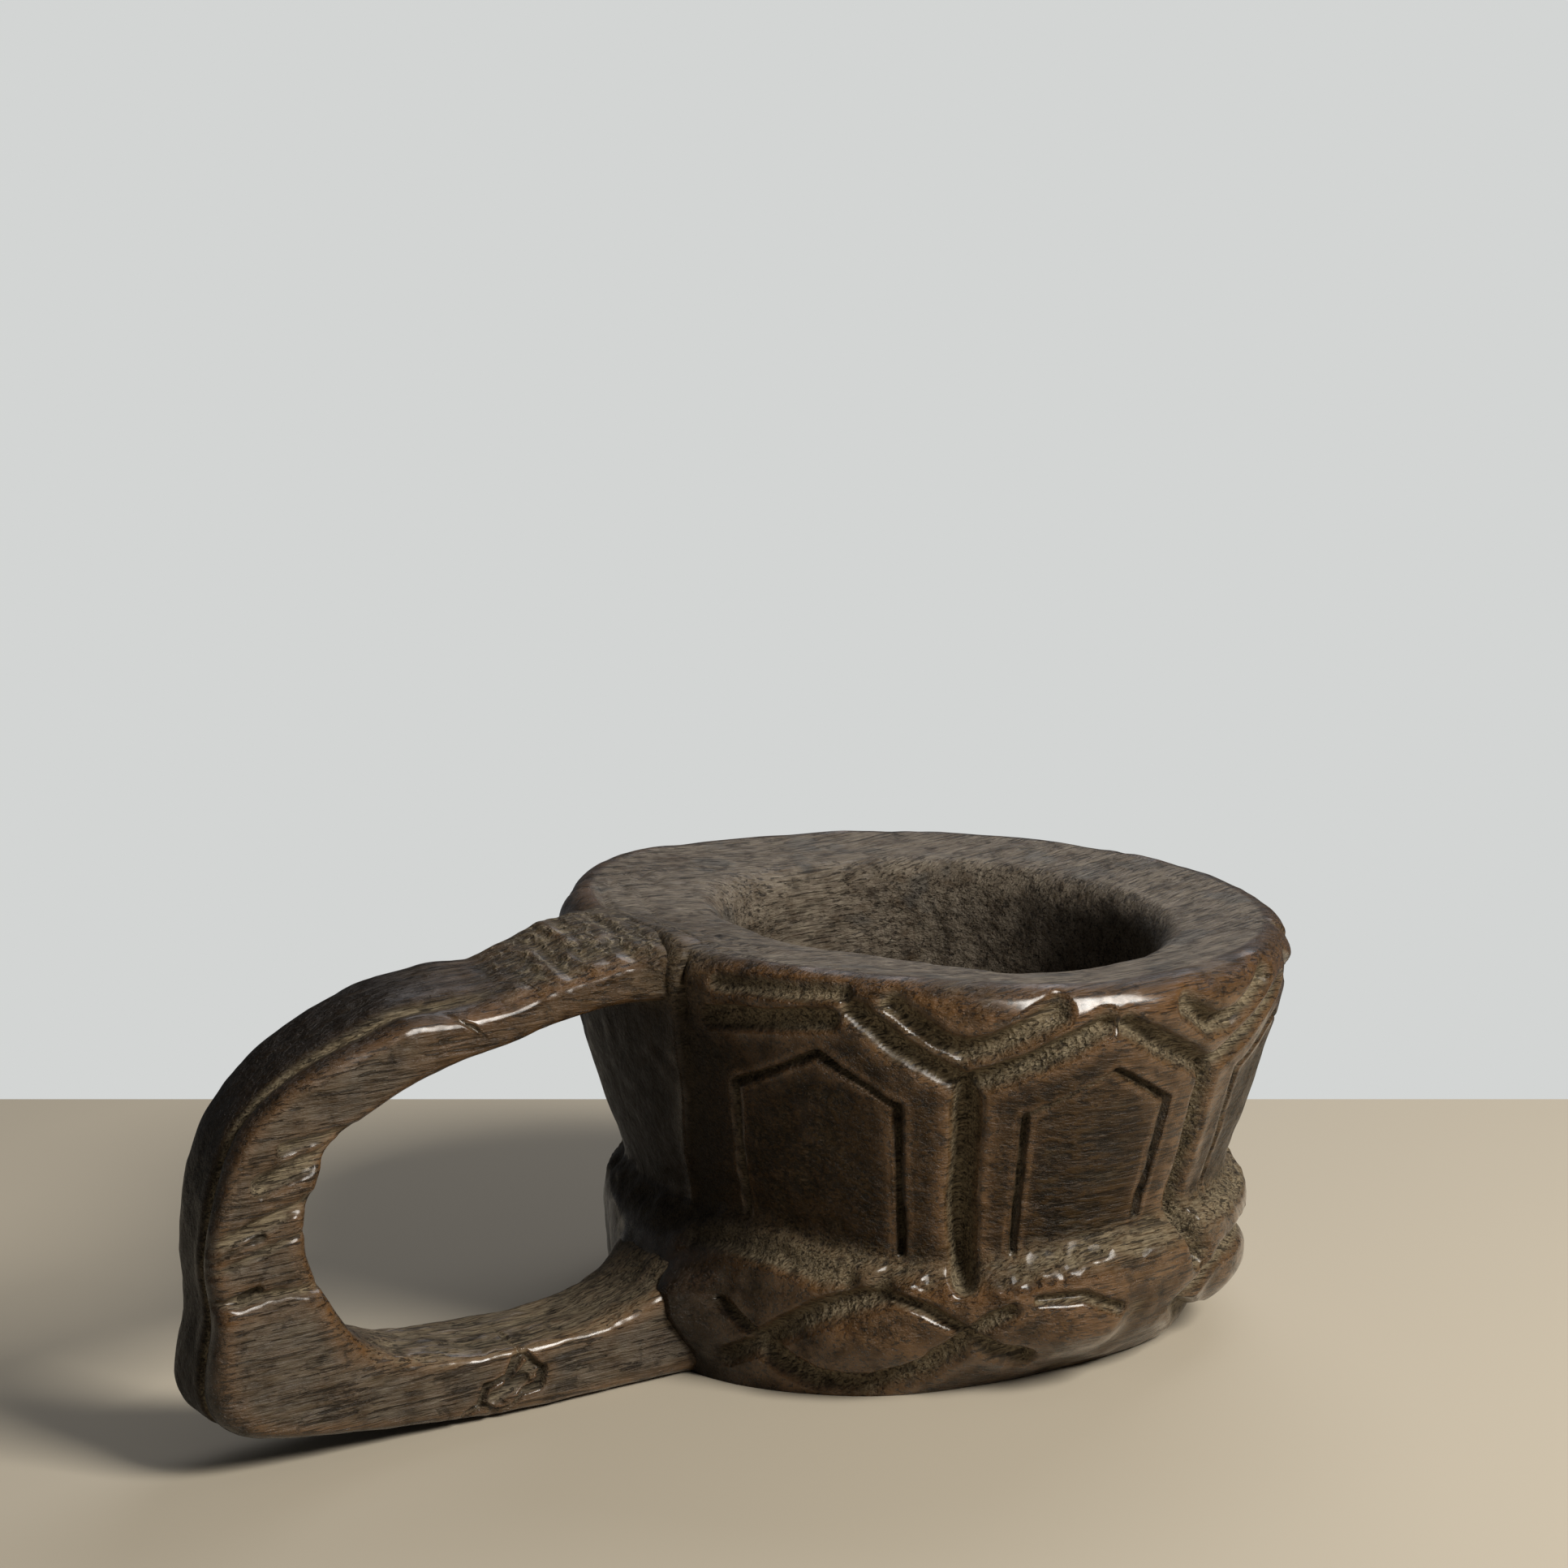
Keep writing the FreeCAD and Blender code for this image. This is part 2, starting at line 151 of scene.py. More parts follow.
bowl = {
    "columns": 450,
    "crowding": 0.42,         # columns stand closer together on the carved front
    "crowdedAngle": 238.0,
    "sideRows": 150,
    # the outside, as (height, radius)
    "side": [(0, 86.5), (28, 86.5), (33, 86), (36.5, 84), (39.5, 80.3), (42, 79.6), (48, 81.4),
             (58, 85), (70, 88.5), (82, 92), (92, 94.3), (100, 95.8), (106, 96)],
    "sideBlur": 1.3,
    "edgeStart": 102.0,       # the rim's edge rounds over from here
    "crown": 109.4,           # crest of the rim, on average
    "crestRadius": 89.0,
    "lipRadius": 67.5,        # where the rim's top starts to roll into the mouth
    "lipFall": 3.0,
    "mouthRadius": 59.3,
    "mouthHeight": 95.5,
    "cornerRadius": 55.0,     # foot of the cavity's wall
    "cornerHeight": 36.0,
    "floorRadius": 34.0,
    "floorHeight": 15.0,
    # crest of the rim round the bowl: it leans, and has a lug beside the handle
    "crest": [(0, 107.4), (18, 108.4), (35, 109.4), (57, 110.2), (90, 110.6), (105, 111.6),
              (120, 112.4), (140, 112.2), (165, 111.8), (190, 111.3), (208, 110.6), (227, 109.8),
              (238, 108.6), (250, 107), (262, 106.3), (280, 106.4), (297, 106.3), (315, 105.8),
              (335, 106.4)],
    "rimSwell": [(0, 0), (60, -0.5), (90, 0), (105, 2.6), (122, 3.2), (138, 1.3), (155, 0),
                 (250, 0), (320, 0)],
    "edgeWear": [(0, 0.5), (200, 0), (235, 0.3), (246, 1.6), (258, 2.0), (270, 1.2), (290, 0.6),
                 (330, 0.5)],
    # the mouth is cut a little off the middle, away from the handle
    "mouthShift": [(0, 0), (60, -0.5), (110, -3), (150, -6.5), (200, -7), (218, -6), (234, -3.5),
                   (248, -0.5), (262, 0.8), (300, 1.4), (330, 0.8)],
    # height of the crease at the waist, round the bowl, on average, and how far it bends the wall
    "waist": [(0, 41), (60, 40), (120, 42), (150, 43.4), (190, 43), (206, 41.8), (213, 39.8),
              (221, 37.7), (230, 36.2), (240, 35.4), (249, 37.7), (260, 39.5), (286, 41.7), (320, 42)],
    "waistHeight": 41.0,
    "waistReach": 13.0,
    # the radius that the foot stands on, and the height where its tuck starts
    "stand": [(0, 73), (60, 78.5), (120, 82), (150, 84), (180, 86.5), (198, 85.5), (212, 81.5),
              (225, 78), (240, 71), (260, 66), (286, 66.5), (300, 69), (315, 70), (345, 72)],
    "footTop": [(0, 29), (190, 30), (206, 31), (222, 30), (240, 27), (255, 28), (275, 30), (300, 31)],
    # carving: the panels, and the stems of the forked channels between them
    "panelCount": 7,
    "firstStem": 192.6,       # the stem beside the handle
    "flatRadius": 80.0,       # strokes are drawn on the wall laid flat: its radius at the floor,
    "flatSlope": 0.18,        # what that gains with height,
    "mmPerDegree": 1.6,       # and the length of a degree on average
    "lineWidth": 2.0,
    "lineDepth": 2.2,
    "channelWidth": 9.4,
    "channelDepth": 4.3,
    # two panels face the viewer: left eave, peak, right eave, right foot, left foot
    "frontPanels": [
        [(201.7, 80), (215.8, 90.3), (227.6, 77.8), (227.8, 38), (198.7, 42)],
        [(247.3, 74.5), (261.5, 84.6), (273.1, 74.1), (272.3, 43), (247.5, 38)],
    ],
    "frontDepths": [[0.9, 1.1, 1.4, 0, 0.6], [0.3, 1.0, 1.35, 0, 1.25]],
    "houseHalf": 12.8,
    "houseFoot": 39.0,
    "houseEave": 76.5,
    "housePeak": 87.0,
    # channels as runs of (angle, height), the front ones as they were cut
    "frontStems": [
        [(237.9, 83), (238.2, 70.4), (237.9, 52.5), (238.8, 33)],
        [(281.8, 80), (282, 62), (282.8, 44), (284, 38), (286.4, 28)],
    ],
    "frontArms": [
        [(221.4, 102), (228.3, 92.7), (237.7, 83.3), (248.3, 88.9), (259.1, 96.8)],
        [(227, 103.6), (233.5, 94.8), (237.5, 92.4), (241.5, 93), (251.3, 101)],
        [(262.6, 96), (270.3, 88.8), (281.3, 79.8), (291, 86), (302, 94)],
        [(273.7, 98.5), (280, 91.8), (285, 91.6), (295, 99.5)],
    ],
    # the other forks repeat one pattern, as (degrees from the stem, height): stem, low and high arms
    "fork": [
        [(0, 82), (0, 60), (0, 38)],
        [(-19.5, 99), (0, 82.5), (19.5, 97)],
        [(-9.5, 101), (-2, 92.2), (2, 92.2), (9.5, 100.5)],
    ],
    "bands": [([(200, 105.4), (220, 106)], 4.6), ([(198.8, 96.4), (217.8, 99.4)], 6.6)],
    "bandDepth": 2.2,
    # single cuts: run, width, depth
    "groove": ([(193.6, 108), (193.2, 96)], 4.0, 1.8),
    "ledgeScoop": ([(190, 35.5), (197, 37), (204, 36.4), (212, 33.8), (219, 31.4)], 8.0, 2.0),
    # knife lines on the rim's top beside the handle: radius, depth
    "rimArcs": [(85.5, 1.0), (80.5, 0.7), (75.0, 0.6)],
    # the plain stretch behind the handle: one of its edges, and how far it stands proud
    "spineEdge": [(193, 100), (192.4, 85), (191.6, 73), (189.6, 62), (187.2, 50), (186.2, 40)],
    "spineProud": 1.3,
    # foot band: the big lozenge in front, what runs on from it on both sides, and an oval scoop
    "footFront": [
        ([(204, 13.2), (208, 17.3), (214, 22.8), (219, 26.4), (225, 29.4)], 8.4, 4.0),
        ([(225, 29.6), (232.5, 25.6), (239.5, 18.8)], 5.0, 3.0),
        ([(204.5, 12.4), (208, 8.4), (213.5, 4.6), (223, 3.8), (233, 9.2), (239.5, 17.6)], 8.0, 4.0),
        ([(239.5, 18.4), (242.6, 22), (246, 24.6)], 6.4, 3.2),
        ([(241, 16.4), (244.5, 12.6), (250.5, 9.6)], 5.6, 3.2),
        ([(251, 26.8), (259, 26.6), (266, 21.8)], 4.0, 2.4),
        ([(204, 13), (200, 17.5), (195.8, 22)], 4.6, 2.6),
        ([(203.6, 12.6), (200.5, 10.2), (197, 7.4)], 7.0, 2.6),
    ],
    "lozengeMiddle": (222.0, 15.5),
    "latticeLow": 5.0,
    "latticeHigh": 27.0,
    "latticeWidth": 7.6,
    "latticeDepth": 3.0,
    "cushion": 2.2,           # how far a lozenge swells, and the distance over which it does
    "cushionReach": 11.0,
    # tool marks, deeper on the foot and the ledge above it: place, mm, size in mm, seed, folded
    "marks": [
        ("wall", 0.45, 16, 31, False),
        ("wall", 0.2, (9, 4, 4), 32, False),
        ("foot", 0.5, 13, 33, False),
        ("foot", -0.35, (11, 7, 7), 34, True),
        ("ledge", 0.7, (6, 4, 2.6), 35, False),
        ("ledge", 0.4, 1.8, 36, False),
        ("top", 0.5, (26, 9, 9), 37, False),
        ("top", 0.16, (9, 2.4, 2), 38, False),
        ("inside", 0.9, 20, 39, False),
        ("inside", -0.5, (9, 9, 22), 40, True),
    ],
}

# stretches of the bowl's half section in their order; what follows the last is inside too
onUnderside, onSide, onEdge, onTop, onLip, onInside = range(6)


def quarterTurn(start, end, count, upright):
    # points after start on a quarter of an ellipse to end, which leaves start upright or level
    turn = np.linspace(0, np.pi / 2, count + 1)[1:]
    share = np.stack([1 - np.cos(turn), np.sin(turn)], axis=1)
    return np.array(start) + (np.array(end) - start) * (share if upright else share[:, ::-1])


def bowlSection():
    # half section from the middle of the underside, out, up the side, over the rim and down inside
    b = bowl
    sideHeights = np.linspace(0, b["edgeStart"], b["sideRows"])
    side = np.stack([softCurve(sideHeights, b["side"], b["sideBlur"]), sideHeights], axis=1)
    crest = (b["crestRadius"], b["crown"])
    lip = (b["lipRadius"], b["crown"] - b["lipFall"])
    mouth = (b["mouthRadius"], b["mouthHeight"])
    corner = (b["cornerRadius"], b["cornerHeight"])
    floor = (b["floorRadius"], b["floorHeight"])
    stretches = [
        np.outer([0.3, 0.6, 0.8, 0.92, 0.98], (side[0, 0], 0)),
        side,
        quarterTurn(side[-1], crest, 10, True),
        np.linspace(crest, lip, 15)[1:],
        quarterTurn(lip, mouth, 10, False),
        np.linspace(mouth, corner, 15)[1:],
        quarterTurn(corner, floor, 5, True),
        np.linspace(floor, (0, b["floorHeight"]), 4)[1:-1],
    ]
    zone = np.concatenate([np.full(len(part), number) for number, part in enumerate(stretches)])
    return np.vstack(stretches), zone


def crestLift(angle, height):
    # the rim leans and waves: how far that raises the wall at a height
    return (ringCurve(angle, bowl["crest"], 5) - bowl["crown"]) * easeStep(72, 103, height)


def bowlShape():
    # turns the section round, then bends it by angle: leaning crest, lug, wavy waist, tucked foot
    b = bowl
    section, zone = bowlSection()
    radius, height, zone = section[:, :1], section[:, 1:], zone[:, None]
    even = np.linspace(0, 2 * np.pi, b["columns"], endpoint=False)
    middle = np.radians(b["crowdedAngle"])
    angle = np.degrees(even - b["crowding"] * np.sin(even - middle))[None, :]
    insideLift = crestLift(angle, b["crown"]) * easeStep(30, b["mouthHeight"], height)
    lift = np.where(zone >= onInside, insideLift, crestLift(angle, height))
    nearWaist = np.exp(-((height - b["waistHeight"]) / b["waistReach"]) ** 2) * (zone == onSide)
    waistDrop = (ringCurve(angle, b["waist"], 4) - b["waistHeight"]) * nearWaist
    swell = ringCurve(angle, b["rimSwell"], 5) * easeStep(84, 104, height) * easeStep(70, 86, radius)
    nearMouth = easeStep(20, 90, height) * (1 - easeStep(67, 89, radius)) * (zone >= onTop)
    shift = ringCurve(angle, b["mouthShift"], 7) * nearMouth
    footRadius = b["side"][0][1]
    under = np.clip(1 - height / ringCurve(angle, b["footTop"], 5), 0, 1) ** 2.2
    inFoot = (zone == onSide) * under + (zone == onUnderside) * (radius / footRadius)
    tuck = (footRadius - ringCurve(angle, b["stand"], 5)) * inFoot
    nearEdge = np.clip((radius - 80) / 16, 0, 1) ** 2 * easeStep(97, 107, height)
    wear = ringCurve(angle, b["edgeWear"], 4) * nearEdge * (zone <= onTop)
    newRadius = radius + swell + shift - tuck - 0.5 * wear
    newHeight = height + lift + waistDrop - wear * (zone >= onSide)
    return np.broadcast_to(angle, newHeight.shape), newRadius, newHeight, zone


def panelPitch():
    # the panels and the plain spine behind the handle share the circle evenly
    return 360 / (bowl["panelCount"] + 1)


def spineMiddle():
    return bowl["firstStem"] - panelPitch() / 2


def fromSpine(angle):
    # degrees from the middle of the spine, on either side
    return np.abs(np.mod(angle - spineMiddle() + 180, 360) - 180)


def strokeDistance(angle, height, start, end):
    # distance to a straight stroke on the wall laid flat, and how far along it that is, both in mm
    perDegree = np.pi / 180 * (bowl["flatRadius"] + bowl["flatSlope"] * np.clip(height, 0, 100))
    dx = (np.mod(angle - start[0] + 180, 360) - 180) * perDegree
    dz = height - start[1]
    ex = (end[0] - start[0]) * perDegree
    ez = end[1] - start[1]
    share = np.clip((dx * ex + dz * ez) / (ex * ex + ez * ez), 0, 1)
    return np.hypot(dx - share * ex, dz - share * ez), share * np.hypot(ex, ez)


def cutRun(state, run, width, depth, key, flat=0.1):
    # cuts a run of strokes into the relief; flat is the share of the width that is level at the bottom
    travelled = 0.0
    for start, end in zip(run, run[1:]):
        distance, along = strokeDistance(state["angle"], state["height"], start, end)
        gap = distance + state["waver"]
        cut = depth * (1 - easeStep(flat, 1.1, gap / (width / 2)))
        state["tickAlong"] = np.where(cut > state[key], travelled + along, state["tickAlong"])
        state[key] = np.maximum(state[key], cut)
        if key == "lines":
            # a shallow line looks thinner
            state["lineGap"] = np.minimum(state["lineGap"], gap + 1.3 - 0.65 * depth)
        travelled += float(np.hypot((end[0] - start[0]) * bowl["mmPerDegree"], end[1] - start[1]))


def housePanels():
    # outlines and line depths of the seven panels: two as cut in front, the rest varied a little
    b = bowl
    draw = np.random.default_rng(11)
    panels = list(zip(b["frontPanels"], b["frontDepths"]))
    half, foot, eave, peak = b["houseHalf"], b["houseFoot"], b["houseEave"], b["housePeak"]
    for number in range(len(panels), b["panelCount"]):
        middle = b["firstStem"] + (number + 0.5) * panelPitch()
        corners = np.array([(middle - half, eave), (middle, peak), (middle + half, eave),
                            (middle + half, foot), (middle - half, foot)])
        corners = corners + draw.uniform(-1.3, 1.3, (5, 2))
        depths = [*draw.uniform(0.7, 1.3, 3), 0, draw.uniform(0.7, 1.2)]
        panels.append((corners.tolist(), depths))
    return panels


def channelRuns():
    # the forked channels: stems as cut in front, then the pattern, moved a little at its free ends
    b = bowl
    draw = np.random.default_rng(12)
    stems, arms = list(b["frontStems"]), list(b["frontArms"])
    for number in range(len(stems) + 1, b["panelCount"]):
        stem = b["firstStem"] + number * panelPitch()
        off = draw.uniform(-1.1, 1.1, 12)
        moves = [[(0, off[0]), (off[1], 0), (off[2] / 2, 0)],
                 [(off[3], off[4]), (0, off[0]), (off[5], off[6])],
                 [(off[7], off[8]), (0, 0), (0, 0), (off[9], 0)]]
        fork = [(np.array(run) + move + (stem, 0)).tolist() for run, move in zip(b["fork"], moves)]
        stems.append(fork[0])
        arms.extend(fork[1:])
    return stems, arms


def carveBowl(angle, height, points):
    # relief in mm below the smooth skin, and the maps that the finish reads
    b = bowl
    blank = np.zeros_like(height)
    waver = 0.4 * lumps(points, 9, 21) + 0.25 * lumps(points, 3, 22)
    state = {"angle": angle, "height": height, "waver": waver, "tickAlong": blank,
             "channels": blank, "lines": blank, "foot": blank, "lineGap": blank + farOff}
    stems, arms = channelRuns()
    for run in stems:
        cutRun(state, run, b["channelWidth"], b["channelDepth"] * 1.3, "channels", 0.0)
    for run in arms:
        cutRun(state, run, b["channelWidth"] * 0.9, b["channelDepth"] * 0.9, "channels")
    for band, width in b["bands"]:
        mirrored = [(2 * spineMiddle() - place, level) for place, level in band]
        for run in (band, mirrored):
            cutRun(state, run, width, b["bandDepth"], "channels", 0.5)
    cutRun(state, *b["groove"], "channels")
    cutRun(state, *b["ledgeScoop"], "foot")
    for corners, depths in housePanels():
        for start, end, depth in zip(corners, corners[1:] + corners[:1], depths):
            if depth > 0:
                cutRun(state, [start, end], b["lineWidth"], b["lineDepth"] * depth, "lines", 0.0)
    for cut in b["footFront"]:
        cutRun(state, *cut, "foot")
    pitch = panelPitch()
    crossing = (b["latticeLow"] + b["latticeHigh"]) / 2
    for number in range(2, b["panelCount"]):
        left = b["firstStem"] + number * pitch
        for level in (b["latticeLow"], b["latticeHigh"]):
            bow = crossing + (level - crossing) * 0.8
            run = [(left, crossing), (left + pitch / 4, bow), (left + pitch / 2, level),
                   (left + pitch * 0.75, bow), (left + pitch, crossing)]
            cutRun(state, run, b["latticeWidth"], b["latticeDepth"], "foot")
    # the lozenges swell like cushions between their channels
    middles = [(b["firstStem"] + (number + 0.5) * pitch, crossing) for number in range(b["panelCount"])]
    middles[0] = b["lozengeMiddle"]
    state["swell"] = blank
    for place, level in middles:
        gap = strokeDistance(angle, height, (place - 4, level), (place + 4, level))[0]
        swell = b["cushion"] * (1 - easeStep(0, b["cushionReach"], gap))
        state["swell"] = np.maximum(state["swell"], swell)
    return state


def spineStep(angle, height):
    # the plain stretch behind the handle stands a little proud, up to an edge on either side
    levels = np.array(sorted((level, place) for place, level in bowl["spineEdge"]))
    edge = np.interp(height, levels[:, 0], levels[:, 1]) - spineMiddle()
    proud = 1 - easeStep(-1.2, 1.0, (fromSpine(angle) - edge) * 1.5)
    return bowl["spineProud"] * proud * easeStep(36, 46, height)


def spineShade(angle):
    # painted shade: the spine behind the handle, which faces away from the lamp and lies in the handle's
    # shadow, is darkened
    return 1 - easeStep(18, 42, fromSpine(angle))


def settleJoint(maps, joint):
    # both pieces take the same colours where they meet, so that no seam shows
    for name, settled in (("dust", 0.2), ("wear", 0.0), ("greyAndSheen", 0.15)):
        maps[name] = maps[name] + (settled - maps[name]) * joint
    return maps


def makeBowl():
    angle, radius, height, zone = bowlShape()
    turn = np.radians(angle)
    points = np.stack([radius * np.cos(turn), radius * np.sin(turn), height], axis=2)
    state = carveBowl(angle, height, points)
    overCrest = height - ringCurve(angle, bowl["crest"], 5)
    overWaist = height - ringCurve(angle, bowl["waist"], 4)
    overFoot = height - ringCurve(angle, bowl["footTop"], 5)
    full = np.ones_like(height)
    wall = full * np.isin(zone, (onSide, onEdge))
    top = full * np.isin(zone, (onTop, onLip))
    inside = full * (zone >= onInside)
    footBand = (1 - easeStep(-8, 1, overWaist)) * wall
    ledge = np.exp(-((overWaist + 4.5) / 4.5) ** 2) * wall
    places = {"wall": wall, "foot": footBand, "ledge": ledge, "top": top, "inside": inside}
    relief = (state["swell"] - state["channels"] - state["lines"] - state["foot"]) * wall
    relief += spineStep(angle, height) * wall + toolMarks(points, bowl["marks"], places)
    arcs = easeStep(112, 128, angle % 360) * (1 - easeStep(196, 214, angle % 360)) * top
    for middle, deep in bowl["rimArcs"]:
        relief -= deep * arcs * np.exp(-((radius - middle - lumps(points, 14, 41)) / 0.9) ** 2)
    # the underside stays flat, and the relief starts just above it
    relief *= (zone > onUnderside) * easeStep(-0.2, 1.5, height)
    points = points + gridNormals(points) * relief[..., None]
    distance = handleDistance(points, handlePath())
    points = meetHandle(points, distance)
    points[..., 2] = np.maximum(points[..., 2], 0)

    # dust lies in the cuts and on the ledge; edges, brows and ridges are rubbed, and a painted highlight
    # runs beside the knife lines
    ridge = relief - blurGrid(relief, 4, 4)
    edge = np.exp(-((overCrest + 5.5) / 3.4) ** 2) * wall
    brow = np.exp(-((overFoot + 0.5) / 3.0) ** 2) * (zone == onSide)
    cuts = np.clip((state["channels"] + state["foot"]) / 3.4, 0, 1) * wall
    dust = 0.85 * cuts + 0.95 * ledge * easeStep(30, 37, height) + np.maximum(-ridge, 0) * wall
    dust = np.clip(dust, 0, 1)
    # painted highlight: a light strip beside each knife line stands for the lit wall of the cut
    paintedLineHighlight = np.exp(-((state["lineGap"] - 2.1) / 0.5) ** 2)
    wear = 1.4 * np.maximum(ridge, 0) + 0.8 * edge + brow + 0.4 * footBand
    wear = np.clip(wear + 0.3 * state["swell"] + 0.7 * paintedLineHighlight, 0, 1)
    maps = {
        "dust": dust,
        "wear": wear * wall * (1 - 0.7 * dust),
        # the rim's top and the inside: greyed wood, partly a painted sheen
        "greyAndSheen": top + 0.9 * inside,
        # painted shade inside the cavity, darker towards its bottom
        "hollowShade": inside * (1 - easeStep(40, 100, height)),
        "tickAlong": state["tickAlong"],
        "ticks": cuts,
        "lineGap": np.where(wall > 0, state["lineGap"], farOff),
        # painted shade on the spine, left off the rim's edge
        "shade": spineShade(angle) * wall * (1 - easeStep(92, 104, height)),
    }
    joint = np.clip(1 - distance / handle["jointBlend"], 0, 1) * (height > 60) * (1 - inside)
    return gridMesh("carvedBowl", points, settleJoint(maps, joint))


handle = {
    "rows": 620,
    "columns": 150,
    # stations round the loop: its inner edge (x, z), the front and the back edge of its outer face,
    # how far it reaches to the front and to the back, and how much its inner face climbs to the back
    "stations": [
        (-62, 88, -62, 100, -62, 101, -21, 24, 0),
        (-78, 94.5, -78, 107.5, -78, 108, -21.5, 26, 0),
        (-89, 97, -89, 111.2, -89, 113.2, -21.5, 25, 0),
        (-97, 97.6, -98, 111, -97, 116, -20, 22, 0),
        (-106, 97.8, -107, 109.2, -105, 116.6, -18, 18, 0),
        (-114, 97.2, -116, 107.2, -116, 115.2, -16.6, 15.5, 0),
        (-124, 94.9, -125, 105.2, -126, 112, -15.4, 13.5, 0),
        (-133, 92.9, -134, 102.8, -134, 110, -14.8, 12.2, 0),
        (-142, 91, -143, 101.2, -146, 111.4, -14.3, 12.4, 0),
        (-150, 89.2, -152, 101.6, -156, 110.6, -14, 12.6, 0),
        (-159, 86.3, -162, 102.2, -167, 108.2, -13.6, 13, 0),
        (-166, 83.6, -171, 98.6, -177, 104.4, -13.2, 13.2, 0),
        (-173.5, 79.6, -180, 96.2, -186, 99.4, -12.8, 13.5, 0),
        (-178.5, 77.6, -189, 93, -193.5, 94.4, -12.4, 13.8, 0),
        (-182.8, 73.2, -197, 88.6, -200, 87.6, -12, 14, 0),
        (-185.2, 67, -204.5, 81.4, -205.4, 80.4, -11.8, 14.2, 0),
        (-188.4, 61.5, -209.6, 70.4, -209, 70, -11.6, 14.4, 0),
        (-189.3, 56, -212.4, 60, -210.8, 59.4, -11.4, 14.5, 0),
        (-188.8, 50, -213.6, 51, -211, 50, -11.3, 14.5, 0),
        (-187, 44.5, -212.4, 43.5, -210.4, 43, -11.3, 14.5, 0),
        (-184.6, 39.5, -211.6, 37.5, -210.6, 36, -12, 14.5, 0),
        (-181.6, 34, -213.4, 30, -213.2, 28, -12.6, 14.5, 0),
        (-178.8, 29.5, -214.3, 22, -214.2, 20, -12.8, 14.5, 0),
        (-175.5, 26.2, -212, 14.8, -211.6, 13.4, -12.8, 14, 0),
        (-171.5, 24.2, -206, 10.6, -203, 9.8, -12.9, 13.4, 0.4),
        (-166.5, 21.8, -197.5, 8.7, -195, 8.4, -13, 13.2, 1),
        (-161, 20.2, -187, 7.4, -186, 7.2, -13.2, 12.8, 1.3),
        (-153, 19, -172, 4.6, -172, 4.6, -13.4, 12.4, 1.3),
        (-144.5, 18.2, -157, 2.4, -157, 2.4, -13.6, 12, 1.3),
        (-136, 18, -142, 1.4, -142, 1.4, -13.8, 11.6, 1.3),
        (-127, 17.8, -129, 1, -129, 1, -14, 11.4, 1.3),
        (-118, 18, -118, 0.8, -118, 0.8, -14.3, 11.6, 1.2),
        (-109, 19.2, -109, 0.6, -109, 0.6, -14.6, 12.4, 1),
        (-101, 21, -101, 0.5, -101, 0.5, -15, 14, 0.8),
        (-94, 23.4, -94, 0.4, -94, 0.4, -15.4, 16, 0.5),
        (-86, 26.5, -86, 0.3, -86, 0.3, -15.8, 18, 0),
        (-76, 29, -76, 0.3, -76, 0.3, -16, 18, 0),
        (-62, 30, -62, 0.3, -62, 0.3, -16, 18, 0),
    ],
    "stationBlur": 2.6,
    "squareFront": 6.5,       # the front edges are crisper than the back ones
    "squareUpper": 3.8,       # but rounder on the upper arm
    "squareBack": 4.0,
    "fullness": 1.05,         # the squared oval runs a little past its edges
    "cove": 8.5,              # hollow that sweeps from the bowl to the lower arm's front, and its reach
    "coveReach": 13.0,
    "jointBlend": 14.0,       # distance over which the colours of the two pieces meet
    # knife strokes across the front face, in the loop's own plane: points, width, depth
    "strokes": [
        ([(-213, 56), (-201, 59.3), (-187, 63.6)], 5.0, 1.5),
        ([(-213, 50), (-199, 53.8), (-188, 56.5)], 3.4, 0.8),
        ([(-213, 53), (-200, 57.2)], 3.0, 0.7),
        ([(-200, 69), (-191.4, 71.7), (-181, 74)], 6.5, 2.0),
        ([(-194, 77), (-185.7, 77.8), (-176, 78.6)], 4.5, 1.3),
        ([(-215, 42.6), (-203, 43.6), (-195, 43.1), (-185, 42.3)], 3.6, 1.6),
        ([(-205, 43.3), (-201, 44.6)], 3.0, 3.0),
        ([(-149.5, 3.2), (-145.5, 5), (-143.8, 9), (-138, 10.6), (-135.6, 15), (-132.8, 15.6),
          (-130.6, 12.4), (-128.2, 11), (-129.4, 7), (-134, 6.2), (-137, 3.2), (-141.4, 2.4),
          (-145.5, 5)], 1.8, 1.6),
        ([(-134.5, 18.4), (-134.2, 15), (-138.5, 8.2), (-133, 9.4)], 1.6, 1.5),
        ([(-141.5, 6), (-135, 8.6), (-131.5, 11.6)], 5.0, 1.5),
        ([(-155, 105), (-146, 99), (-143, 96)], 1.8, 0.9),
    ],
    "crackWidth": 3.0,        # strokes up to this width are cracks, darkened with painted shade
    # tool marks, and the ragged top of the upper root: place, mm, size in mm, seed, folded
    "marks": [
        ("all", 0.45, 17, 51, False),
        ("all", 0.25, (9, 5, 5), 52, False),
        ("all", 0.08, 2.2, 53, False),
        ("rootTop", 0.9, (3.2, 9, 3), 55, False),
        ("lowerTop", 0.5, (12, 3, 3), 56, False),
        ("lowerTop", 0.3, (5, 1.8, 2), 57, False),
    ],
}


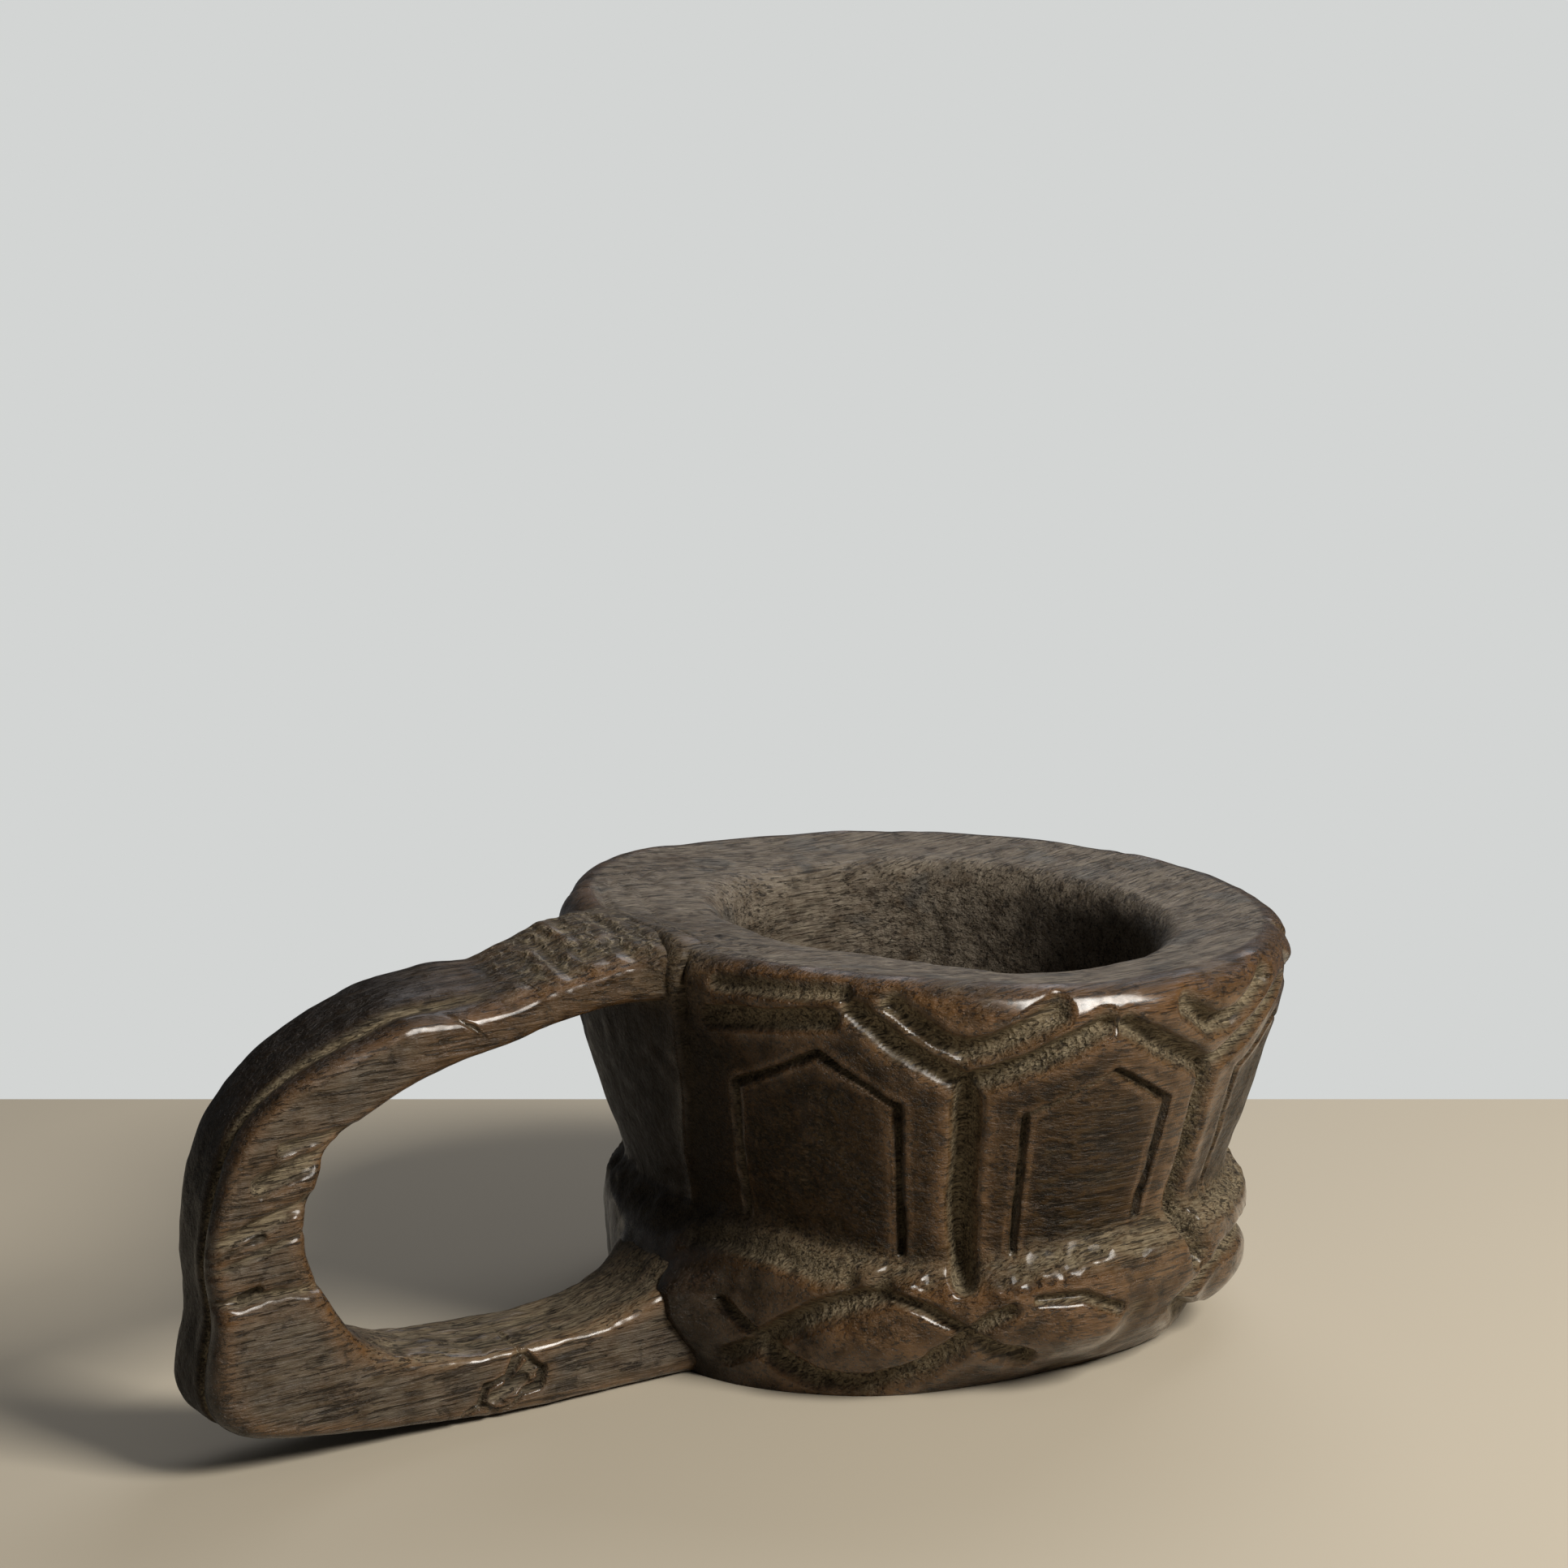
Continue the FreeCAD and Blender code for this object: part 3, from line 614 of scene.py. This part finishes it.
def handlePath():
    # every row of the loop: its edges, its reach to both sides, and the place along its length
    table = np.array(handle["stations"], float)
    middle = (table[:, 0:2] + table[:, 2:4]) / 2
    length = np.concatenate([[0], np.cumsum(np.hypot(*np.diff(middle, axis=0).T))])
    at = np.linspace(0, length[-1], handle["rows"])
    smooth = [softCurve(at, list(zip(length, column)), handle["stationBlur"]) for column in table.T]
    smooth = np.stack(smooth, axis=1)
    names = ("inner", "front", "back")
    path = {name: smooth[:, 2 * number:2 * number + 2] for number, name in enumerate(names)}
    path.update(at=at, near=-smooth[:, 6], far=smooth[:, 7], climb=smooth[:, 8])
    softer = easeStep(62, 82, path["inner"][:, 1])
    path["square"] = handle["squareFront"] + (handle["squareUpper"] - handle["squareFront"]) * softer
    return path


def handlePoints(path):
    # each row is a squared oval, squarer in front, stretched between its inner and outer edges
    turn = np.linspace(0, 2 * np.pi, handle["columns"], endpoint=False)[None, :]
    out, side = np.cos(turn), np.sin(turn)
    power = np.where(side < 0, path["square"][:, None], handle["squareBack"])
    reach = (np.abs(out) ** power + np.abs(side) ** power) ** (-1 / power)
    out, side = handle["fullness"] * out * reach, side * reach
    inner, front, back = (path[name][:, None, :] for name in ("inner", "front", "back"))
    outer = front + (back - front) * (side[..., None] + 1) / 2
    flat = inner + (outer - inner) * (out[..., None] + 1) / 2
    across = side * np.where(side < 0, path["near"][:, None], path["far"][:, None])
    height = flat[..., 1] + path["climb"][:, None] * side * (1 - out) / 2
    return np.stack([flat[..., 0], across, height], axis=2), out, side


def handleDistance(points, path):
    # rough signed distance to the loop: nearest row, then how far past its squared oval
    flat = points.reshape(-1, 3)
    found = np.full(len(flat), beyond)
    near = np.flatnonzero((flat[:, 0] < -55) & (np.abs(flat[:, 1]) < beyond))
    spot = flat[near]
    rows = np.arange(0, handle["rows"], 5)
    outer = (path["front"] + path["back"]) / 2
    middle = ((path["inner"] + outer) / 2)[rows]
    gap = np.hypot(spot[:, :1] - middle[None, :, 0], spot[:, 2:] - middle[None, :, 1])
    best = rows[np.argmin(gap, axis=1)]
    axis = (outer - path["inner"])[best] / 2
    offset = spot[:, [0, 2]] - (path["inner"] + outer)[best] / 2
    out = (offset * axis).sum(axis=1) / (axis ** 2).sum(axis=1)
    side = spot[:, 1] / np.where(spot[:, 1] < 0, path["near"][best], path["far"][best])
    power = np.where(side < 0, path["square"][best], handle["squareBack"])
    norm = np.maximum((np.abs(out) ** power + np.abs(side) ** power) ** (1 / power), 0.05)
    length = np.sqrt((offset ** 2).sum(axis=1) + spot[:, 1] ** 2)
    found[near] = length * (1 - 1 / norm)
    return found.reshape(points.shape[:-1])


def bowlDistance(points):
    # signed distance to the plain turned bowl, from its half section raised to the leaning crest
    section, zone = bowlSection()
    outer = section[zone <= onTop]
    flat = points.reshape(-1, 3)
    found = np.full(len(flat), beyond)
    near = np.flatnonzero(flat[:, 0] > -125)
    spot = flat[near]
    radius = np.hypot(spot[:, 0], spot[:, 1])
    angle = np.degrees(np.arctan2(spot[:, 1], spot[:, 0]))
    height = spot[:, 2] - crestLift(angle, spot[:, 2])
    gap = np.hypot(radius[:, None] - outer[None, :, 0], height[:, None] - outer[None, :, 1])
    side = section[zone == onSide]
    edge = np.interp(height, side[:, 1], side[:, 0])
    within = (radius < edge) & (height < bowl["crown"])
    found[near] = gap.min(axis=1) * np.where(within, -1, 1)
    return found.reshape(points.shape[:-1])


def fillet(distance, reach):
    # how far two meeting surfaces are pushed out so that they run into each other
    return np.maximum(reach - np.abs(distance), 0) ** 2 / (4 * reach)


def jointReach(points):
    # the loop's top flows into the rim and the spine, but its front meets the bowl at a crease
    upper = 3 + 6 * easeStep(99, 108, points[..., 2])
    lower = 1.5 + 13 * easeStep(14, 26, points[..., 2]) * easeStep(-16, -8, points[..., 1])
    return np.where(points[..., 2] > 60, upper, lower)


def meetHandle(points, distance):
    # the bowl's side of both joints, with the cove that sweeps out to the lower arm's front face
    height = points[..., 2]
    inCove = easeStep(1, 20, height) * (1 - easeStep(23, 34, height)) * easeStep(-5, -12, points[..., 1])
    cove = handle["cove"] * inCove * (1 - np.clip(distance / handle["coveReach"], 0, 1)) ** 2
    push = np.maximum(fillet(distance, jointReach(points)), cove)
    return points + gridNormals(points) * push[..., None]


def cutStrokes(points, frontFace):
    # knife strokes in the loop's own plane: how deep they are, and the distance to the dark cracks
    atX, atZ = points[..., 0], points[..., 2]
    cuts = np.zeros_like(atX)
    crack = cuts + farOff
    waver = 0.5 * lumps(points, 6, 54) + 0.4 * lumps(points, 2.4, 58)
    for run, width, depth in handle["strokes"]:
        for start, end in zip(run, run[1:]):
            dx, dz = atX - start[0], atZ - start[1]
            ex, ez = end[0] - start[0], end[1] - start[1]
            share = np.clip((dx * ex + dz * ez) / (ex * ex + ez * ez), 0, 1)
            gap = np.hypot(dx - share * ex, dz - share * ez) + waver
            cuts = np.maximum(cuts, depth * (1 - easeStep(0.1, 1.1, gap / (width / 2))))
            if width <= handle["crackWidth"]:
                crack = np.minimum(crack, gap + farOff * (1 - frontFace))
    return cuts, crack


def makeHandle():
    path = handlePath()
    points, out, side = handlePoints(path)
    at = path["at"][:, None] + 0 * out
    atX, atZ = points[..., 0], points[..., 2]
    frontFace, outerFace, innerFace = (easeStep(0.7, 0.98, facing) for facing in (-side, out, -out))
    upperArm = easeStep(-172, -150, atX) * (atZ > 60)
    rootTop = easeStep(-142, -112, atX) * outerFace * (atZ > 60)
    lowerTop = innerFace * (atZ < 45) * easeStep(-178, -165, atX)
    knob = (1 - easeStep(38, 43, atZ)) * (1 - easeStep(-184, -170, atX))
    relief = toolMarks(points, handle["marks"], {"all": 1.0, "rootTop": rootTop, "lowerTop": lowerTop})
    cuts, crack = cutStrokes(points, frontFace)
    relief -= cuts * np.maximum(frontFace, 0.25 * innerFace * (side < 0))
    relief += knob * frontFace
    # a groove runs along the outer face beside its front edge
    along = easeStep(70, 100, at) * (1 - easeStep(190, 215, at))
    groove = along * outerFace * np.exp(-((side + 0.52) / 0.12) ** 2)
    relief -= 1.5 * groove
    points = points + gridNormals(points) * relief[..., None]
    distance = bowlDistance(points)
    points = points + gridNormals(points) * fillet(distance, jointReach(points))[..., None]
    points[..., 2] = np.maximum(points[..., 2], 0)

    # hands rub the corners and the upper arm, dust stays in the groove and on top of the arms
    corner = np.abs(np.abs(out) - np.abs(side)) / np.where(side < 0, 0.45, 0.22)
    corner = np.clip(1 - corner, 0, 1)
    ridge = relief - blurGrid(relief, 4, 4)
    dust = 0.2 * rootTop + 0.5 * lowerTop + 0.2 * cuts * frontFace + 0.7 * groove
    wear = 1.1 * corner + 1.2 * np.maximum(ridge, 0) + 0.5 * upperArm * frontFace
    # the front faces and the lower arm's top: greyed wood, partly a painted sheen
    greyAndSheen = 0.44 * frontFace * (1 - 0.75 * upperArm) + 0.3 * lowerTop
    maps = {
        "dust": np.clip(dust + np.maximum(-ridge, 0), 0, 1),
        "wear": np.clip(wear, 0, 1),
        "greyAndSheen": np.clip(greyAndSheen, 0, 1),
        "hollowShade": 0 * at,
        "tickAlong": 0.6 * at,
        "ticks": rootTop,
        "lineGap": crack,
        # painted shade on the handle's outer face near the bowl, left off in the groove
        "shade": outerFace * (1 - easeStep(-165, -130, atX)) * (1 - groove),
    }
    joint = np.clip(1 - distance / handle["jointBlend"], 0, 1) * (atZ > 60)
    return gridMesh("carvedHandle", points, settleJoint(maps, joint))


def linear(code):
    # sRGB hex to the linear colour that a shader works in
    channels = np.array([int(code[place:place + 2], 16) for place in (1, 3, 5)]) / 255
    low = channels / 12.92
    high = ((channels + 0.055) / 1.055) ** 2.4
    return (*np.where(channels <= 0.04045, low, high).tolist(), 1.0)


def addNode(tree, kind, settings=None, inputs=None, output=0):
    # adds one node with its settings, its sockets' values and links, and gives back one output
    made = tree.nodes.new(kind)
    for key, value in (settings or {}).items():
        setattr(made, key, value)
    for key, value in (inputs or {}).items():
        if isinstance(value, bpy.types.NodeSocket):
            tree.links.new(value, made.inputs[key])
        else:
            made.inputs[key].default_value = value
    return made.outputs[output] if made.outputs else None


woodLook = {
    "deep": "#150e06",        # pores, soot and old grease, and painted shade on the spine, the handle's outer face, low in the cavity and in the knife lines
    "heart": "#392913",       # the wood itself under years of handling
    "warm": "#49351d",        # where the finish has been rubbed through
    "worn": "#664828",        # polished edges, and the painted highlight beside the knife lines
    "pale": "#928977",        # greyed flats, partly a painted sheen
    "dusk": "#62564a",        # the duller wood round them, and in scratches
    "blue": "#474a4a",        # where iron has stained the wood
    "khaki": "#8e8168",       # dust and dried polish in the cuts
    # patterns: size in mm along the grain and across it, detail, roughness, distortion, and the two
    # values between which they ease from 0 to 1; real pores and fibres are a tenth of a millimetre
    # wide, too fine to show, so grain and fibre are drawn several times coarser
    "patterns": {
        "grain": ((14.0, 1.3, 1.3), 5.0, 0.60, 0.2, 0.38, 0.62),
        "fibre": ((5.0, 0.45, 0.45), 3.0, 0.60, 0.0, 0.25, 0.70),
        "check": ((16.0, 0.8, 0.8), 3.0, 0.55, 0.4, 0.575, 0.615),
        "scratch": ((7.0, 0.9, 0.5), 2.0, 0.50, 0.6, 0.58, 0.68),
        "spot": ((6.0, 4.0, 4.0), 4.0, 0.65, 0.3, 0.54, 0.66),
        "facet": ((9.0, 4.5, 4.5), 1.0, 0.50, 0.0, 0.30, 0.70),
        "patch": ((22.0, 22.0, 22.0), 3.0, 0.55, 0.0, 0.40, 0.75),
        "stain": ((21.0, 21.0, 21.0), 3.0, 0.55, 0.0, 0.56, 0.64),
        "blotch": ((6.0, 6.0, 6.0), 4.0, 0.60, 0.0, 0.15, 0.68),
        "bend": ((6.0, 6.0, 6.0), 4.0, 0.60, 0.0, 0.00, 1.00),
        "broken": ((3.0, 3.0, 3.0), 2.0, 0.50, 0.0, 0.35, 0.65),
    },
    "maps": ("dust", "wear", "greyAndSheen", "hollowShade", "tickAlong", "ticks", "lineGap", "shade"),
    "tick": 2.2,              # spacing of the gouge's chatter marks, in mm
    "tickBend": 8.0,          # how far noise bends them, and how thin their crests are
    "tickSharp": 3.0,
    "lineHalf": 1.2,          # half the width of the painted shade in the knife lines, in mm
    # colours laid over one another: colour, amount, and the maps and patterns that it is confined to
    "layers": [
        ("heart", 1.0, "grain"),
        ("warm", 0.6, "patch"),
        # greyed wood with its painted sheen, broken up in blotches
        ("dusk", 1.0, "greyAndSheen", "blotch"),
        ("pale", 0.6, "greyAndSheen", "blotch", "fibre"),
        ("blue", 0.4, "greyAndSheen", "stain"),
        ("dusk", 0.45, "scratch"),
        ("worn", 1.0, "wear", "blotch"),
        ("khaki", 0.85, "dust", "fibre"),
        ("khaki", 0.6, "chatter"),
        # painted shade on the spine and on the handle's outer face
        ("deep", 0.85, "shade"),
        # painted shade deep in the cavity
        ("deep", 0.5, "hollowShade"),
        # painted shade in the knife lines and cracks
        ("deep", 0.6, "line"),
        ("deep", 0.7, "check"),
        ("deep", 0.55, "spot"),
    ],
    # fine relief in mm, and how dull each thing is beside the plain handled wood
    "relief": {"grain": 0.25, "fibre": 0.12, "facet": 0.5, "check": -0.5, "chatter": 0.5,
               "line": -0.7, "spot": -0.12},
    "dullness": {"grain": 0.06, "wear": -0.16, "dust": 0.35, "greyAndSheen": 0.12, "spot": 0.08},
    "roughness": 0.34,
    # dry wood reflects little, and only its polished edges are glossy
    "gloss": {"IOR": 1.5, "Specular IOR Level": 0.2, "Coat Roughness": 0.16, "Coat IOR": 1.45},
}


def wornCarvedHardwood():
    # dark dense hardwood cut with knife and gouge, oiled and handled: silky on the edges, dry in cuts
    look = woodLook
    multiply, multiplyAdd = {"operation": "MULTIPLY"}, {"operation": "MULTIPLY_ADD"}
    smooth = {"interpolation_type": "SMOOTHSTEP"}
    material = bpy.data.materials.new("wornCarvedHardwood")
    material.use_nodes = True
    tree = material.node_tree
    tree.nodes.clear()
    place = addNode(tree, "ShaderNodeTexCoord", output="Object")
    part = {}
    for name in look["maps"]:
        part[name] = addNode(tree, "ShaderNodeAttribute", {"attribute_name": name}, output="Fac")
    for name, (size, detail, rough, twist, low, high) in look["patterns"].items():
        scale = [1 / (length * mm) for length in size]
        moved = addNode(tree, "ShaderNodeMapping", None, {"Vector": place, "Scale": scale})
        raw = addNode(tree, "ShaderNodeTexNoise", None, {
            "Vector": moved, "Scale": 1.0, "Detail": detail, "Roughness": rough, "Distortion": twist})
        part[name] = addNode(tree, "ShaderNodeMapRange", smooth, {
            "Value": raw, "From Min": low, "From Max": high})
    # painted shade in the knife lines and cracks, strongest at their middle
    part["line"] = addNode(tree, "ShaderNodeMapRange", smooth, {
        "Value": part["lineGap"], "From Min": look["lineHalf"], "From Max": 0.0})

    # chatter marks: a wave along the cut, bent by noise, sharpened to thin crests and broken up
    wave = addNode(tree, "ShaderNodeMath", multiply, {0: part["tickAlong"], 1: np.pi / look["tick"]})
    wave = addNode(tree, "ShaderNodeMath", multiplyAdd, {0: part["bend"], 1: look["tickBend"], 2: wave})
    for operation, amount in (("SINE", 0.0), ("ABSOLUTE", 0.0), ("POWER", look["tickSharp"])):
        wave = addNode(tree, "ShaderNodeMath", {"operation": operation}, {0: wave, 1: amount})
    for name in ("ticks", "broken"):
        wave = addNode(tree, "ShaderNodeMath", multiply, {0: wave, 1: part[name]})
    part["chatter"] = wave

    tone = linear(look["deep"])
    for colour, amount, *confined in look["layers"]:
        share = amount
        for name in confined:
            share = addNode(tree, "ShaderNodeMath", multiply, {0: share, 1: part[name]})
        tone = addNode(tree, "ShaderNodeMix", {"data_type": "RGBA"}, {
            0: share, 6: tone, 7: linear(look[colour])}, 2)

    height, rough = 0.0, look["roughness"]
    for name, amount in look["relief"].items():
        height = addNode(tree, "ShaderNodeMath", multiplyAdd, {0: part[name], 1: amount, 2: height})
    for name, amount in look["dullness"].items():
        rough = addNode(tree, "ShaderNodeMath", multiplyAdd, {0: part[name], 1: amount, 2: rough})
    bump = addNode(tree, "ShaderNodeBump", None, {"Strength": 1.0, "Distance": mm, "Height": height})
    polish = addNode(tree, "ShaderNodeMath", multiply, {0: part["wear"], 1: part["blotch"]})
    shader = addNode(tree, "ShaderNodeBsdfPrincipled", None, {
        "Base Color": tone, "Roughness": rough, "Normal": bump, "Coat Weight": polish, **look["gloss"]})
    addNode(tree, "ShaderNodeOutputMaterial", None, {"Surface": shader})
    return material


def plainPaint(name, code, rough):
    # matt wall paint, flat and even
    material = bpy.data.materials.new(name)
    material.use_nodes = True
    shader = material.node_tree.nodes["Principled BSDF"]
    shader.inputs["Base Color"].default_value = linear(code)
    shader.inputs["Roughness"].default_value = rough
    return material


stage = {
    "floorColour": "#bfb5a2",
    "floorBack": 0.187,       # m from the cup's axis to the floor's back edge
    "floorFront": 2.0,
    "floorHalf": 3.0,
    "lens": 68.94,
    "sensor": 36.0,
    "cameraPlace": (-0.4825, -0.6134, 0.278),
    "cameraAim": (0.5704, 0.8026, -0.1746),
    "lampAim": (0, 0, 0.05),
    "lamps": [                # place, size, power, colour
        ((0.36, -1.00, 0.98), 0.5, 23.0, "#fffaf2"),
        ((0.90, 0.65, 1.10), 1.0, 7.0, "#f6f8ff"),
    ],
    "backColour": "#d3d5d4",
    "worldColour": "#e8ebee",
    "worldStrength": 0.09,
}


def makeStage():
    # a plain floor, square to the view, that ends a little behind the cup
    aim = np.array(stage["cameraAim"][:2]) / np.hypot(*stage["cameraAim"][:2])
    right = np.array([aim[1], -aim[0]])
    front, back, half = -stage["floorFront"], stage["floorBack"], stage["floorHalf"]
    corners = [aim * depth + right * wide
               for depth, wide in ((front, -half), (front, half), (back, half), (back, -half))]
    mesh = bpy.data.meshes.new("floor")
    mesh.from_pydata([(*corner, 0.0) for corner in corners], [], [(0, 1, 2, 3)])
    floor = bpy.data.objects.new("floor", mesh)
    bpy.context.scene.collection.objects.link(floor)
    mesh.materials.append(plainPaint("paleFloorPaint", stage["floorColour"], 0.8))


def makeLights():
    # a window-like lamp in front on the right, a weaker one behind, and a weak even room; the view
    # sees a pale wall
    world = bpy.data.worlds.new("softRoom")
    world.use_nodes = True
    bpy.context.scene.world = world
    tree = world.node_tree
    room = tree.nodes["Background"]
    room.inputs["Color"].default_value = linear(stage["worldColour"])
    room.inputs["Strength"].default_value = stage["worldStrength"]
    seen = addNode(tree, "ShaderNodeLightPath", output="Is Camera Ray")
    wall = addNode(tree, "ShaderNodeBackground", None, {
        "Color": linear(stage["backColour"]), "Strength": 1.0})
    both = addNode(tree, "ShaderNodeMixShader", None, {0: seen, 1: room.outputs[0], 2: wall})
    tree.links.new(both, tree.nodes["World Output"].inputs["Surface"])
    for number, (place, size, power, code) in enumerate(stage["lamps"]):
        lamp = bpy.data.lights.new("softLamp%d" % number, "AREA")
        lamp.size, lamp.energy, lamp.color = size, power, linear(code)[:3]
        holder = bpy.data.objects.new("softLamp%d" % number, lamp)
        holder.location = place
        aim = Vector(stage["lampAim"]) - Vector(place)
        holder.rotation_euler = aim.to_track_quat("-Z", "Y").to_euler()
        bpy.context.scene.collection.objects.link(holder)


def makeCamera():
    data = bpy.data.cameras.new("camera")
    data.lens, data.sensor_width = stage["lens"], stage["sensor"]
    camera = bpy.data.objects.new("camera", data)
    camera.location = stage["cameraPlace"]
    camera.rotation_euler = Vector(stage["cameraAim"]).to_track_quat("-Z", "Y").to_euler()
    bpy.context.scene.collection.objects.link(camera)
    bpy.context.scene.camera = camera


makeCamera()
makeStage()
makeLights()
bpy.context.scene.view_settings.view_transform = "Standard"
print("stage is set")

wood = wornCarvedHardwood()
for make, node in ((makeBowl, "bowl"), (makeHandle, "handle")):
    piece = make()
    piece.data.materials.append(wood)
    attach(piece, "root")
    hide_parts(node)
    print(piece.name, "has", len(piece.data.polygons), "faces")
